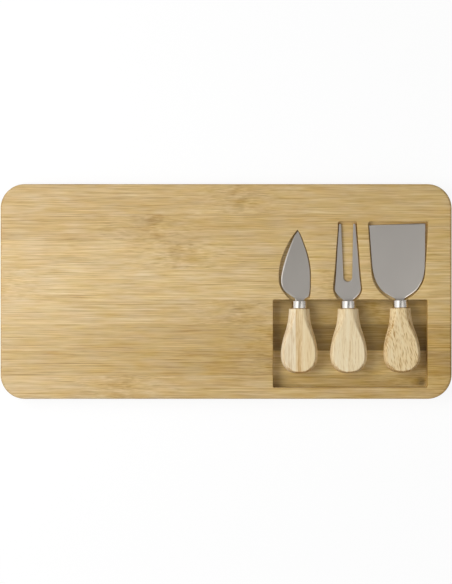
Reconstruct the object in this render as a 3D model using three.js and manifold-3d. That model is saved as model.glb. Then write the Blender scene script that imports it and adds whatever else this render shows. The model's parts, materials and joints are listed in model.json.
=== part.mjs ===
// A cheese board set: a laminated bamboo board with a pocket and three blade recesses,
// and a cheese knife, a fork and a spade that lie in them.
// Millimetres, +Z up. The origin is under the middle of the board, on the surface it stands on.
// +X runs along the board to the tools' end, and +Y runs across it, the way the blades point.
import * as THREE from "three";
import { mergeVertices } from "three/addons/utils/BufferGeometryUtils.js";
import Module from "manifold-3d";

const wasm = await Module();
wasm.setup();

// The board: three plies of bamboo strips, glued up and cut to size
const boardLength = 380;
const boardWidth = 181;
const plyThickness = 5.5;
const plyCount = 3;
const cornerRadius = 20.5;
const edgeRound = 2;

// The pocket for the handles: a window through all plies but the lowest
const pocketRightMargin = 20.6;
const pocketFrontMargin = 9.6;
const pocketFootRoom = 12;
const pocketEndRoom = 7.2;
const pocketCornerRadius = 1.5;

// Where the face strips meet: shares of the way from the front edge of the board to the pocket's
// back wall, which is a joint too, and shares of the way from there to the back edge
const frontJointShares = [0.238, 0.484, 0.75];
const backJointShares = [0.261, 0.512, 0.741];

// How many even strips lie across the core to the left of the pocket and beside it. One more
// strip is left over to the right of it.
const coreStripsLeft = 11;
const coreStripsBeside = 6;

// Fits
const seatGap = 0.25; // between a lying handle and the pocket's floor
const underBladeRoom = 0.8; // between a lying blade and the floor of its recess
const fitGap = 0.25; // between the pieces of one tool
const overrun = 1; // how far a cutting shape passes the face that it opens

// What the three tools share
const handle = {
  length: 54.5,
  width: 31,
  thickness: 16.5,
  shoulderEase: 0.5,
  // [share of the length from the shoulder, share of the half width]
  profileShares: [
    [0.0, 0.558],
    [0.1, 0.578],
    [0.2, 0.62],
    [0.29, 0.69],
    [0.38, 0.79],
    [0.47, 0.88],
    [0.56, 0.95],
    [0.65, 0.993],
    [0.74, 0.998],
    [0.82, 0.955],
    [0.88, 0.87],
    [0.93, 0.74],
    [0.97, 0.56],
    [0.993, 0.32],
    [0.9985, 0.15],
    [1.0, 0.0],
  ],
};
const ferrule = { length: 6.6, diameter: 13.5, wall: 0.6, lipRadius: 0.6 };
const blade = { thickness: 1.2, neckWidth: 6.7 };
const tang = { length: 22, width: 5 };

// The tools, from left to right in the pocket. handleRoom is the clear width in the pocket to the
// left of the handle, ferruleRoom the gap from the ferrule to the pocket's back wall, and sideRoom
// and tipRoom are what the recess is wider and longer than the blade. Each blade edge is a list
// of [share of the blade's length from the ferrule, share of its width], and each recess edge is
// the same for the recess, from the pocket's back wall.
const knife = {
  bladeLength: 59,
  bladeWidth: 24.6,
  bevelWidth: 0.9,
  bevelDepth: 0.45,
  tipRoom: 0.7,
  sideRoom: 1.2,
  ferruleRoom: 1,
  handleRoom: 6.6,
  recessOffset: -0.2,
  turnDegrees: 0,
  glueLineOffset: 3.3,
  leftShares: [
    [0.035, -0.155],
    [0.06, -0.25],
    [0.1, -0.39],
    [0.145, -0.52],
    [0.2, -0.59],
    [0.28, -0.622],
    [0.36, -0.612],
    [0.5, -0.54],
    [0.65, -0.428],
    [0.8, -0.298],
    [0.93, -0.165],
  ],
  rightShares: [
    [0.035, 0.2],
    [0.065, 0.31],
    [0.12, 0.355],
    [0.22, 0.375],
    [0.33, 0.377],
    [0.45, 0.362],
    [0.58, 0.313],
    [0.72, 0.227],
    [0.86, 0.107],
    [0.94, 0.03],
  ],
  tipShare: [1, -0.045],
  recessLeftShares: [
    [0, -0.278],
    [0.06, -0.411],
    [0.133, -0.525],
    [0.204, -0.6],
    [0.276, -0.63],
    [0.419, -0.625],
    [0.562, -0.567],
    [0.705, -0.452],
    [0.848, -0.293],
    [0.93, -0.175],
  ],
  recessRightShares: [
    [0, 0.322],
    [0.06, 0.345],
    [0.133, 0.36],
    [0.276, 0.37],
    [0.419, 0.363],
    [0.562, 0.319],
    [0.705, 0.235],
    [0.848, 0.126],
    [0.93, 0.055],
  ],
  recessTipShare: [1, -0.048],
};

const fork = {
  bladeLength: 65.1,
  bladeWidth: 22.3,
  bevelWidth: 0.3,
  bevelDepth: 0.3,
  tipRoom: 1.7,
  sideRoom: 1,
  ferruleRoom: 1,
  handleRoom: 10.2,
  recessOffset: -0.6,
  turnDegrees: 0.6,
  tineTipWidth: 2.2,
  tineRoundShare: 0.33,
  slotMouthWidth: 10.1,
  slotFootWidth: 7.4,
  slotLength: 48.9,
  sideShares: [
    [0.025, 0.235],
    [0.05, 0.325],
    [0.085, 0.42],
    [0.125, 0.482],
    [0.165, 0.5],
    [0.21, 0.484],
    [0.27, 0.466],
    [0.4, 0.437],
    [0.53, 0.411],
    [0.66, 0.385],
    [0.8, 0.356],
    [0.92, 0.327],
    [0.975, 0.32],
  ],
  recessSideShares: [
    [0, 0.33],
    [0.04, 0.41],
    [0.08, 0.468],
    [0.12, 0.498],
    [0.165, 0.5],
    [0.373, 0.44],
    [0.629, 0.392],
    [0.85, 0.342],
    [0.93, 0.332],
  ],
};

const spade = {
  bladeLength: 64,
  bladeWidth: 47.5,
  bevelWidth: 0.8,
  bevelDepth: 0.4,
  tipRoom: 2.1,
  sideRoom: 1.6,
  ferruleRoom: 0.4,
  handleRoom: 12.9,
  recessOffset: -1.8,
  turnDegrees: 2.1,
  sideShares: [
    [0.016, 0.08],
    [0.038, 0.13],
    [0.065, 0.192],
    [0.097, 0.258],
    [0.135, 0.318],
    [0.205, 0.38],
    [0.275, 0.421],
    [0.345, 0.447],
    [0.43, 0.464],
    [0.55, 0.475],
    [0.7, 0.483],
    [0.85, 0.49],
    [0.985, 0.499],
  ],
  recessSideShares: [
    [0, 0.135],
    [0.02, 0.178],
    [0.055, 0.245],
    [0.117, 0.325],
    [0.182, 0.382],
    [0.246, 0.42],
    [0.31, 0.44],
    [0.45, 0.456],
    [0.629, 0.47],
    [0.8, 0.487],
    [0.95, 0.498],
  ],
};

const recessCornerRadius = 1.8;

// How finely round shapes are divided
const roundSides = 36;
const edgeSteps = 26;
const cornerSteps = 7;
const edgeRoundSteps = 3;
const smallRoundAngle = Math.PI / 6;

// Places worked out from the sizes
const boardThickness = plyCount * plyThickness;
const upperPlyBottom = boardThickness - plyThickness;
const tools = [knife, fork, spade];
const handleRooms = tools.map((tool) => tool.handleRoom).reduce((sum, room) => sum + room, 0);
const pocketLength = handleRooms + tools.length * handle.width + pocketEndRoom;
const pocketWidth = shoulderFromPocketBack(knife) + handle.length + pocketFootRoom;
const pocketRight = boardLength / 2 - pocketRightMargin;
const pocketLeft = pocketRight - pocketLength;
const pocketFront = -boardWidth / 2 + pocketFrontMargin;
const pocketBack = pocketFront + pocketWidth;
const pocketFloor = plyThickness;
const toolAxisHeight = pocketFloor + seatGap + handle.thickness / 2;
const recessFloor = toolAxisHeight - blade.thickness / 2 - underBladeRoom;
const tenonLength = ferrule.length - ferrule.wall - fitGap;
const tenonRadius = ferrule.diameter / 2 - ferrule.wall - fitGap;

// Finishes
const finishes = {
  bambooPale: { color: 0xd6be8e, roughness: 0.55, metalness: 0 },
  bambooHoney: { color: 0xcaae78, roughness: 0.55, metalness: 0 },
  bambooBrown: { color: 0xb8975e, roughness: 0.58, metalness: 0 },
  bladeSteel: { color: 0x98938e, roughness: 0.3, metalness: 0.9 },
  ferruleSteel: { color: 0xc8c2ba, roughness: 0.16, metalness: 1 },
  handlePale: { color: 0xdec8a0, roughness: 0.6, metalness: 0 },
  handleTan: { color: 0xd0b588, roughness: 0.6, metalness: 0 },
};

// How far a handle's shoulder stands in front of the pocket's back wall
function shoulderFromPocketBack(tool) {
  return ferrule.length + tool.ferruleRoom;
}

// A tool's place along the board, after the tools to the left of it
function toolPlace(tool) {
  const turn = tools.indexOf(tool);
  const rooms = tools.slice(0, turn + 1).map((each) => each.handleRoom);
  const taken = rooms.reduce((sum, room) => sum + room, turn * handle.width);
  return pocketLeft + taken + handle.width / 2;
}

// From the pocket's back wall to the end of the recess under a blade
function recessLength(tool) {
  return tool.bladeLength - tool.ferruleRoom + tool.tipRoom;
}

// A closed geometry as a solid that can be joined and cut
function solidFrom(geometry) {
  const bare = geometry.clone();
  bare.deleteAttribute("normal");
  bare.deleteAttribute("uv");
  const merged = mergeVertices(bare);
  return new wasm.Manifold(
    new wasm.Mesh({
      numProp: 3,
      vertProperties: merged.attributes.position.array,
      triVerts: new Uint32Array(merged.index.array),
    }),
  );
}

// A solid as a named mesh
function meshFrom(name, solid, finish) {
  const made = solid.getMesh();
  const geometry = new THREE.BufferGeometry();
  geometry.setAttribute("position", new THREE.BufferAttribute(made.vertProperties, 3));
  geometry.setIndex(new THREE.BufferAttribute(made.triVerts, 1));
  geometry.computeVertexNormals();
  const mesh = new THREE.Mesh(geometry, new THREE.MeshStandardMaterial(finishes[finish]));
  mesh.name = name;
  return mesh;
}

// A rectangle with round corners, as a shape
function roundedRectangle(left, front, right, back, radius) {
  const shape = new THREE.Shape();
  shape.absarc(right - radius, front + radius, radius, -Math.PI / 2, 0);
  shape.absarc(right - radius, back - radius, radius, 0, Math.PI / 2);
  shape.absarc(left + radius, back - radius, radius, Math.PI / 2, Math.PI);
  shape.absarc(left + radius, front + radius, radius, Math.PI, Math.PI * 1.5);
  return shape;
}

// A flat outline made thick between two heights
function prism(shape, bottom, top) {
  const made = new THREE.ExtrudeGeometry(shape, {
    depth: top - bottom,
    bevelEnabled: false,
    curveSegments: cornerSteps,
  });
  made.translate(0, 0, bottom);
  return solidFrom(made);
}

// A block between two corners
function block(low, high) {
  const corners = [
    new THREE.Vector2(low.x, low.y),
    new THREE.Vector2(high.x, low.y),
    new THREE.Vector2(high.x, high.y),
    new THREE.Vector2(low.x, high.y),
  ];
  return prism(new THREE.Shape(corners), low.z, high.z);
}

// The whole board before it is cut: round corners in plan, and rounded edges above and below
function boardBlank() {
  const outline = roundedRectangle(
    -boardLength / 2,
    -boardWidth / 2,
    boardLength / 2,
    boardWidth / 2,
    cornerRadius,
  );
  const made = new THREE.ExtrudeGeometry(outline, {
    depth: boardThickness - 2 * edgeRound,
    bevelEnabled: true,
    bevelThickness: edgeRound,
    bevelSize: edgeRound,
    bevelOffset: -edgeRound,
    bevelSegments: edgeRoundSteps,
    curveSegments: cornerSteps,
  });
  made.translate(0, 0, edgeRound);
  return solidFrom(made);
}

// Points of a smooth edge that passes through shares of a length and a width
function smoothEdge(shares, length, width) {
  const corners = shares.map(([along, across]) => new THREE.Vector2(across * width, along * length));
  return new THREE.SplineCurve(corners).getPoints(edgeSteps);
}

// The same edge on the other side of the axis
function mirrored(points) {
  return points.map((point) => new THREE.Vector2(-point.x, point.y));
}

// Points of an arc about a centre, from the direction +X through a turn in radians
function arcPoints(x, y, radius, turn) {
  const steps = Math.ceil(Math.abs(turn) / smallRoundAngle);
  return Array.from({ length: steps + 1 }, (_, step) => {
    const angle = (turn * step) / steps;
    return new THREE.Vector2(x + radius * Math.cos(angle), y + radius * Math.sin(angle));
  });
}

// The recess under a blade with two different edges that meet in a tip
function pointedRecess(tool) {
  const length = recessLength(tool);
  const width = tool.bladeWidth + 2 * tool.sideRoom;
  const right = [...tool.recessRightShares, tool.recessTipShare];
  const left = [...tool.recessLeftShares, tool.recessTipShare];
  const rightEdge = smoothEdge(right, length, width);
  const leftEdge = smoothEdge(left, length, width).reverse().slice(1);
  return [...rightEdge, ...leftEdge];
}

// The recess under a blade with two alike sides and a straight end
function straightRecess(tool) {
  const length = recessLength(tool);
  const width = tool.bladeWidth + 2 * tool.sideRoom;
  const side = smoothEdge(tool.recessSideShares, length, width);
  const outer = side[side.length - 1].x;
  const radius = recessCornerRadius;
  const corner = arcPoints(outer - radius, length - radius, radius, Math.PI / 2);
  const rightHalf = [...side, ...corner];
  return [...rightHalf, ...mirrored(rightHalf).reverse()];
}

// The wood that is routed away under a blade, open to the pocket
function recessCut(tool, outline) {
  const middle = toolPlace(tool) + tool.recessOffset;
  const first = outline[0];
  const last = outline[outline.length - 1];
  const mouth = [
    new THREE.Vector2(last.x, -overrun),
    new THREE.Vector2(first.x, -overrun),
  ];
  const cut = prism(new THREE.Shape([...outline, ...mouth]), recessFloor, boardThickness + overrun);
  return cut.translate(middle, pocketBack, 0);
}

// The face strips' edges, from the front edge of the board to the back edge
function faceEdges() {
  const front = -boardWidth / 2;
  const back = boardWidth / 2;
  const inFront = frontJointShares.map((share) => front + share * (pocketBack - front));
  const behind = backJointShares.map((share) => pocketBack + share * (back - pocketBack));
  return [-Infinity, ...inFront, pocketBack, ...behind, Infinity];
}

// The cross-laid core strips' edges, from the left end of the board to the right end
function coreEdges() {
  const start = -boardLength / 2;
  const edges = [-Infinity];
  for (let turn = 1; turn < coreStripsLeft; turn += 1) {
    edges.push(start + (turn * (pocketLeft - start)) / coreStripsLeft);
  }
  for (let turn = 0; turn < coreStripsBeside; turn += 1) {
    edges.push(pocketLeft + (turn * pocketLength) / coreStripsBeside);
  }
  return [...edges, pocketRight, Infinity];
}

// What is left of a solid between two values along the axis x, y or z
function between(solid, axis, low, high) {
  const box = solid.boundingBox();
  const start = new THREE.Vector3(...box.min).subScalar(overrun);
  const end = new THREE.Vector3(...box.max).addScalar(overrun);
  let kept = solid;
  if (low > start[axis]) {
    const below = end.clone();
    below[axis] = low;
    kept = kept.subtract(block(start, below));
  }
  if (high < end[axis]) {
    const above = start.clone();
    above[axis] = high;
    kept = kept.subtract(block(above, end));
  }
  return kept;
}

// The shades of the strips: in the face plies from the front edge, in the core from the left end
const upperShades = ["Honey", "Brown", "Brown", "Honey", "Pale", "Pale", "Honey", "Honey"];
const lowerShades = ["Honey", "Pale", "Brown", "Honey", "Pale", "Honey", "Brown", "Honey"];
const coreShades = ["Brown", "Honey", "Honey"];

function shadeOf(shades, index) {
  return `bamboo${shades[index % shades.length]}`;
}

// The lower ply: whole strips along the board, which are also the pocket's floor
function lowerPly(blank) {
  const ply = between(blank, "z", -Infinity, plyThickness);
  const edges = faceEdges();
  return edges.slice(1).map((back, index) => {
    const strip = between(ply, "y", edges[index], back);
    const number = edges.length - 1 - index;
    return meshFrom(`lower_strip_${number}`, strip, shadeOf(lowerShades, index));
  });
}

// The core ply: strips across the board, parted by the pocket into back and front pieces
function corePly(windowed) {
  const ply = between(windowed, "z", plyThickness, upperPlyBottom);
  const edges = coreEdges();
  const middle = (pocketFront + pocketBack) / 2;
  return edges.slice(1).flatMap((right, index) => {
    const left = edges[index];
    const strip = between(ply, "x", left, right);
    const name = `core_strip_${String(index + 1).padStart(2, "0")}`;
    const finish = shadeOf(coreShades, index);
    if (left < pocketLeft || right > pocketRight) {
      return [meshFrom(name, strip, finish)];
    }
    return [
      meshFrom(`${name}_back`, between(strip, "y", middle, Infinity), finish),
      meshFrom(`${name}_front`, between(strip, "y", -Infinity, middle), finish),
    ];
  });
}

// The upper ply: strips along the board. Those that the pocket cuts right through are two pieces.
function upperPly(carved) {
  const ply = between(carved, "z", upperPlyBottom, Infinity);
  const edges = faceEdges();
  const middle = (pocketLeft + pocketRight) / 2;
  return edges.slice(1).flatMap((back, index) => {
    const front = edges[index];
    const strip = between(ply, "y", front, back);
    const name = `upper_strip_${edges.length - 1 - index}`;
    const finish = shadeOf(upperShades, index);
    if (front < pocketFront || back > pocketBack) {
      return [meshFrom(name, strip, finish)];
    }
    return [
      meshFrom(`${name}_left`, between(strip, "x", -Infinity, middle), finish),
      meshFrom(`${name}_right`, between(strip, "x", middle, Infinity), finish),
    ];
  });
}

// The laminated board
function makeBoard() {
  const blank = boardBlank();
  const window = roundedRectangle(pocketLeft, pocketFront, pocketRight, pocketBack, pocketCornerRadius);
  const windowed = blank.subtract(prism(window, -overrun, boardThickness + overrun));
  const carved = windowed
    .subtract(recessCut(knife, pointedRecess(knife)))
    .subtract(recessCut(fork, straightRecess(fork)))
    .subtract(recessCut(spade, straightRecess(spade)));
  const board = new THREE.Group();
  board.add(...lowerPly(blank), ...corePly(windowed), ...upperPly(carved));
  return board;
}

// A solid turned about the tool's axis, from points of [radius, distance along the axis]
function turned(profile) {
  const points = profile.map(([radius, along]) => new THREE.Vector2(radius, along));
  return solidFrom(new THREE.LatheGeometry(points, roundSides));
}

// The handle: turned to a drop shape with a tenon for the ferrule, then sanded flat above and
// below, and bored for the tang. Its shoulder is at the tool's origin, and its butt lies at -Y.
function handleSolid() {
  const shoulder = (handle.width / 2) * handle.profileShares[0][1];
  const curve = new THREE.SplineCurve(
    handle.profileShares.map(
      ([along, across]) => new THREE.Vector2((across * handle.width) / 2, -along * handle.length),
    ),
  );
  const body = curve
    .getPoints(edgeSteps)
    .slice(1, -1)
    .map((point) => [point.x, point.y]);
  const turnedBody = turned([
    [0, -handle.length],
    ...body.reverse(),
    [shoulder, -handle.shoulderEase],
    [shoulder - handle.shoulderEase, 0],
    [tenonRadius, 0],
    [tenonRadius, tenonLength],
    [0, tenonLength],
  ]);
  const flats = new THREE.Vector3(handle.width, handle.length + overrun, handle.thickness / 2);
  const slab = block(flats.clone().negate(), flats);
  const bore = new THREE.Vector3(tang.width / 2 + fitGap, tang.length + fitGap, blade.thickness / 2 + fitGap);
  const boreTop = bore.clone().setY(tenonLength + overrun);
  return turnedBody.intersect(slab).subtract(block(bore.clone().negate(), boreTop));
}

// The ferrule: a drawn steel cup over the tenon, with a slot in its end for the blade's neck
function ferruleSolid() {
  const outer = ferrule.diameter / 2;
  const inner = outer - ferrule.wall;
  const lip = ferrule.lipRadius;
  const rounding = arcPoints(outer - lip, ferrule.length - lip, lip, Math.PI / 2);
  const cup = turned([
    [0, ferrule.length - ferrule.wall],
    [inner, ferrule.length - ferrule.wall],
    [inner, fitGap],
    [outer, fitGap],
    ...rounding.map((point) => [point.x, point.y]),
    [0, ferrule.length],
  ]);
  const halfNeck = blade.neckWidth / 2 + fitGap;
  const halfSlot = blade.thickness / 2 + fitGap;
  const low = new THREE.Vector3(-halfNeck, tenonLength, -halfSlot);
  const high = new THREE.Vector3(halfNeck, ferrule.length + overrun, halfSlot);
  return cup.subtract(block(low, high));
}

// The neck and the tang, which run down from the blade into the handle: right side, tip first
function tangPoints() {
  const neck = blade.neckWidth / 2;
  const half = tang.width / 2;
  return [
    new THREE.Vector2(half, -tang.length),
    new THREE.Vector2(half, tenonLength),
    new THREE.Vector2(neck, tenonLength + fitGap),
    new THREE.Vector2(neck, ferrule.length),
  ];
}

// A blade with its neck and tang, stamped from one sheet and ground thinner along its edges
function bladeSolid(tool, rightSide, leftSide, slot) {
  const shift = new THREE.Vector2(0, ferrule.length);
  const right = rightSide.map((point) => point.clone().add(shift));
  const left = leftSide.map((point) => point.clone().add(shift));
  const foot = tangPoints();
  const shape = new THREE.Shape([
    ...foot,
    ...right,
    ...slot.map((point) => point.clone().add(shift)),
    ...left.reverse(),
    ...mirrored(foot).reverse(),
  ]);
  const made = new THREE.ExtrudeGeometry(shape, {
    depth: blade.thickness - 2 * tool.bevelDepth,
    bevelEnabled: true,
    bevelThickness: tool.bevelDepth,
    bevelSize: tool.bevelWidth,
    bevelOffset: -tool.bevelWidth,
    bevelSegments: 1,
  });
  made.translate(0, 0, tool.bevelDepth - blade.thickness / 2);
  return solidFrom(made);
}

// The knife's blade: an almond shape whose point leans to one side
function knifeBlade() {
  const right = smoothEdge(knife.rightShares, knife.bladeLength, knife.bladeWidth);
  const left = smoothEdge(knife.leftShares, knife.bladeLength, knife.bladeWidth);
  const [along, across] = knife.tipShare;
  const tip = new THREE.Vector2(across * knife.bladeWidth, along * knife.bladeLength);
  return bladeSolid(knife, right, left, [tip]);
}

// The fork's blade: two tines that taper to blunt tips, with a slot between them that widens
function forkBlade() {
  const side = smoothEdge(fork.sideShares, fork.bladeLength, fork.bladeWidth);
  const mouth = fork.slotMouthWidth / 2;
  const foot = fork.slotFootWidth / 2;
  const outer = side[side.length - 1].x;
  const tipRound = fork.tineRoundShare * fork.tineTipWidth;
  const tineEnd = [
    new THREE.Vector2(outer - tipRound, fork.bladeLength),
    new THREE.Vector2(mouth + tipRound, fork.bladeLength),
    new THREE.Vector2(mouth, fork.bladeLength - tipRound),
  ];
  const footCentre = fork.bladeLength - fork.slotLength + foot;
  const footArc = arcPoints(0, footCentre, foot, -Math.PI);
  const slot = [...tineEnd, ...footArc, ...mirrored(tineEnd).reverse()];
  return bladeSolid(fork, side, mirrored(side), slot);
}

// The spade's blade: broad, with a straight cutting edge and round shoulders
function spadeBlade() {
  const side = smoothEdge(spade.sideShares, spade.bladeLength, spade.bladeWidth);
  const corner = [new THREE.Vector2(spade.bladeWidth / 2, spade.bladeLength)];
  return bladeSolid(spade, side, mirrored(side), [...corner, ...mirrored(corner)]);
}

// The knife's handle is glued up from two staves, with the glue line beside the tang
function knifeStaves() {
  const whole = handleSolid();
  const joint = -knife.glueLineOffset;
  return [
    meshFrom("knife_handle_left_stave", between(whole, "x", -Infinity, joint), "handlePale"),
    meshFrom("knife_handle_right_stave", between(whole, "x", joint, Infinity), "handleTan"),
  ];
}

// A tool laid in its place: its axis level, its handle's flat side on the pocket's floor
function layTool(tool, meshes) {
  const group = new THREE.Group();
  group.position.set(toolPlace(tool), pocketBack - shoulderFromPocketBack(tool), toolAxisHeight);
  group.rotation.z = THREE.MathUtils.degToRad(tool.turnDegrees);
  group.add(...meshes);
  return group;
}

const knifeGroup = layTool(knife, [
  meshFrom("knife_blade", knifeBlade(), "bladeSteel"),
  meshFrom("knife_ferrule", ferruleSolid(), "ferruleSteel"),
  ...knifeStaves(),
]);
const forkGroup = layTool(fork, [
  meshFrom("fork_blade", forkBlade(), "bladeSteel"),
  meshFrom("fork_ferrule", ferruleSolid(), "ferruleSteel"),
  meshFrom("fork_handle", handleSolid(), "handlePale"),
]);
const spadeGroup = layTool(spade, [
  meshFrom("spade_blade", spadeBlade(), "bladeSteel"),
  meshFrom("spade_ferrule", ferruleSolid(), "ferruleSteel"),
  meshFrom("spade_handle", handleSolid(), "handlePale"),
]);

const group = new THREE.Group();
group.add(makeBoard(), knifeGroup, forkGroup, spadeGroup);

export default group;
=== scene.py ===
# %% [markdown]
# # A cheese board set
# A bamboo serving board has a pocket at one end. A cheese knife, a fork and a spade lie in it,
# each with its blade in a shallow recess of its own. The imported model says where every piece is,
# so this script loads it first and builds finer pieces and finishes around the same places.

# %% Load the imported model
import json
import math

import bmesh
import bpy
from mathutils import Matrix, Vector

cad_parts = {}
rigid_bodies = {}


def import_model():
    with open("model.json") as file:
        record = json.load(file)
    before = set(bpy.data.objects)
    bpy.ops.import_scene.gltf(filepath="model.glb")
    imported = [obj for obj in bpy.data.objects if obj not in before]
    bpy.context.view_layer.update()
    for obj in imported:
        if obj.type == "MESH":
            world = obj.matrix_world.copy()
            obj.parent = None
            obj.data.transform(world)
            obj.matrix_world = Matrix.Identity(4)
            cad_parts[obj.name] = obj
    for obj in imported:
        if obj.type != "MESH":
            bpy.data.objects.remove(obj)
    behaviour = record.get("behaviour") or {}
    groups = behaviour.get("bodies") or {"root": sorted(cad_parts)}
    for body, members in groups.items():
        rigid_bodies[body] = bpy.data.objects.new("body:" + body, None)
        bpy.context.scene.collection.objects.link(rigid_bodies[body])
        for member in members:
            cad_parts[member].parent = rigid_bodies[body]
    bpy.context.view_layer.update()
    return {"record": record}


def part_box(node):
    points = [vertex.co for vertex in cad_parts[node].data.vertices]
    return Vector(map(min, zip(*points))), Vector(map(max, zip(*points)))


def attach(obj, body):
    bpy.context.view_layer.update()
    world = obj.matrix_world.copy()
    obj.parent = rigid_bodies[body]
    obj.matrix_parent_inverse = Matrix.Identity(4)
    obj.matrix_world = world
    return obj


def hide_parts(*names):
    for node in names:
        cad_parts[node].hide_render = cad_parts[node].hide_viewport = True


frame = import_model()
record = frame["record"]

# %% [markdown]
# ## Places read from the frame
# The board is three layers of bamboo strips glued together. The boxes of its strips give the
# outline, the heights of the layers and the walls of the pocket, so no size is typed twice.

# %% Board, layers and pocket
MM = 0.001
board_nodes = record["behaviour"]["bodies"]["board"]
boxes = [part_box(node) for node in board_nodes]
board_low = Vector([min(low[axis] for low, high in boxes) for axis in range(3)])
board_high = Vector([max(high[axis] for low, high in boxes) for axis in range(3)])
pocket_low = Vector(
    (
        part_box("upper_strip_6_left")[1].x,
        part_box("core_strip_13_front")[1].y,
        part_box("lower_strip_1")[1].z,
    )
)
pocket_high = Vector(
    (
        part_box("upper_strip_6_right")[0].x,
        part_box("core_strip_13_back")[0].y,
        board_high.z,
    )
)
print("board, mm:", [round(side / MM, 2) for side in board_high - board_low])
print("pocket, mm:", [round(side / MM, 2) for side in pocket_high - pocket_low])

# %% [markdown]
# ## Objects
# A mesh, a lens or a lamp shows only through an object that is linked to the scene. Two helpers
# make such an object and copy one, because nearly every step below needs one of them.


# %% Helpers for objects
def new_object(name, data):
    """An object in the scene that shows a mesh, a lens or a lamp."""
    made = bpy.data.objects.new(name, data)
    bpy.context.scene.collection.objects.link(made)
    return made


def copy_of(source, name):
    """A copy of an object in the scene. It shares the mesh until it gets its own."""
    made = source.copy()
    made.name = name
    bpy.context.scene.collection.objects.link(made)
    return made


# %% [markdown]
# ## Outlines
# The board, its pocket, the recesses and the blades all start as flat outlines. An outline is a
# list of points that runs anticlockwise. Raising it through several heights, each time a little
# smaller or larger, gives a solid with rounded or ground edges. That is how a router or a
# grinding wheel leaves them, and it keeps the number of faces low.

# %% Helpers for outlines
CORNER_STEPS = 16
SHARP_CORNER = math.radians(20)


def rounded_rectangle(low, high, radius):
    """The outline of a rectangle with round corners."""
    points = []
    middle = (low + high) / 2
    for x, y, start in (
        (high.x, low.y, -90),
        (high.x, high.y, 0),
        (low.x, high.y, 90),
        (low.x, low.y, 180),
    ):
        centre_x = x - math.copysign(radius, x - middle.x)
        centre_y = y - math.copysign(radius, y - middle.y)
        for step in range(CORNER_STEPS + 1):
            turn = math.radians(start + 90 * step / CORNER_STEPS)
            points.append(
                Vector((centre_x + radius * math.cos(turn), centre_y + radius * math.sin(turn)))
            )
    return points


def smaller(outline, distances):
    """The outline with each side moved inwards by its own distance. Below zero it grows."""
    moved = []
    for at, point in enumerate(outline):
        before = (point - outline[at - 1]).normalized()
        after = (outline[(at + 1) % len(outline)] - point).normalized()
        first, second = Vector((-before.y, before.x)), Vector((-after.y, after.x))
        near, far = distances[at - 1], distances[at]
        if abs(before.cross(after)) > math.sin(SHARP_CORNER):
            shift = (near * after - far * before) / before.cross(after)
        else:
            inwards = (first + second).normalized()
            shift = inwards * (near + far) / 2 / inwards.dot(first)
        moved.append(point + shift)
    return moved


def raised(name, outline, levels, shares=None):
    """A closed mesh through an outline at levels of (how much smaller, height)."""
    count = len(outline)
    shares = shares or [1] * count
    points = []
    for inwards, height in levels:
        ring = smaller(outline, [inwards * share for share in shares])
        points += [(point.x, point.y, height) for point in ring]
    faces = [tuple(reversed(range(count)))]
    for start in range(0, len(points) - count, count):
        for at in range(count):
            after = (at + 1) % count
            faces.append(
                (start + at, start + after, start + count + after, start + count + at)
            )
    faces.append(tuple(range(len(points) - count, len(points))))
    mesh = bpy.data.meshes.new(name)
    mesh.from_pydata(points, [], faces)
    return new_object(name, mesh)


def quarter_round(radius, steps):
    """Steps of a quarter circle as (distance in from the edge, distance below the face)."""
    turns = [math.radians(90) * step / steps for step in range(steps + 1)]
    return [(radius * (1 - math.cos(turn)), radius * (1 - math.sin(turn))) for turn in turns]


print("steps in a round corner:", CORNER_STEPS)

# %% [markdown]
# ## Smooth edges
# The edges of the blades and of their recesses were drawn over the photo as a few points each,
# in shares of the blade's length and width. A curve through the points gives the smooth edge.


# %% A curve through shares of a length and a width
EDGE_STEPS = 80


def smooth_edge(shares, length, width):
    """A smooth line through points of (share of the length, share of the width)."""
    knots = [Vector((across * width, along * length)) for along, across in shares]
    last = len(knots) - 1
    points = []
    for step in range(EDGE_STEPS + 1):
        place = last * step / EDGE_STEPS
        at = min(int(place), last - 1)
        part = place - at
        start, end = knots[at], knots[at + 1]
        slope = (end - knots[max(at - 1, 0)]) / 2
        next_slope = (knots[min(at + 2, last)] - start) / 2
        points.append(
            start * (2 * part**3 - 3 * part**2 + 1)
            + slope * (part**3 - 2 * part**2 + part)
            + end * (3 * part**2 - 2 * part**3)
            + next_slope * (part**3 - part**2)
        )
    return points


def mirrored(points):
    """The same edge on the other side of the axis, in the opposite order."""
    return [Vector((-point.x, point.y)) for point in reversed(points)]


def arc(x, y, radius, turn, steps):
    """Points of an arc about a centre, from the direction +X through a turn in degrees."""
    turns = [math.radians(turn) * step / steps for step in range(steps + 1)]
    return [Vector((x + radius * math.cos(each), y + radius * math.sin(each))) for each in turns]


print("points on a smooth edge:", EDGE_STEPS + 1)

# %% [markdown]
# ## The tools' shapes
# Each tool has its own blade, but all three share one handle and one ferrule. All sizes are
# millimetres, measured from the handle's shoulder with the blade pointing along +Y.

# %% What the tools share
HANDLE = {"length": 54.5, "width": 31, "thickness": 16.5, "shoulder_ease": 0.5, "flat_ease": 0.45}
HANDLE_SHARES = [
    (0.0, 0.558), (0.1, 0.578), (0.2, 0.62), (0.29, 0.69), (0.38, 0.79), (0.47, 0.88), (0.56, 0.95),
    (0.65, 0.993), (0.74, 0.998), (0.82, 0.955), (0.88, 0.87), (0.93, 0.74), (0.97, 0.56),
    (0.993, 0.32), (0.9985, 0.15), (1.0, 0.0),
]
FERRULE = {"length": 6.6, "diameter": 13.5, "wall": 0.6, "lip": 0.5}
BLADE = {"thickness": 1.2, "neck": 6.7}
TANG = {"length": 22, "width": 5}
FIT = 0.25
UNDER_BLADE = 0.8
TENON_LENGTH = FERRULE["length"] - FERRULE["wall"] - FIT
TENON_RADIUS = FERRULE["diameter"] / 2 - FERRULE["wall"] - FIT
AXIS_HEIGHT = sum(corner.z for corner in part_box("knife_ferrule")) / 2 / MM
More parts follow.
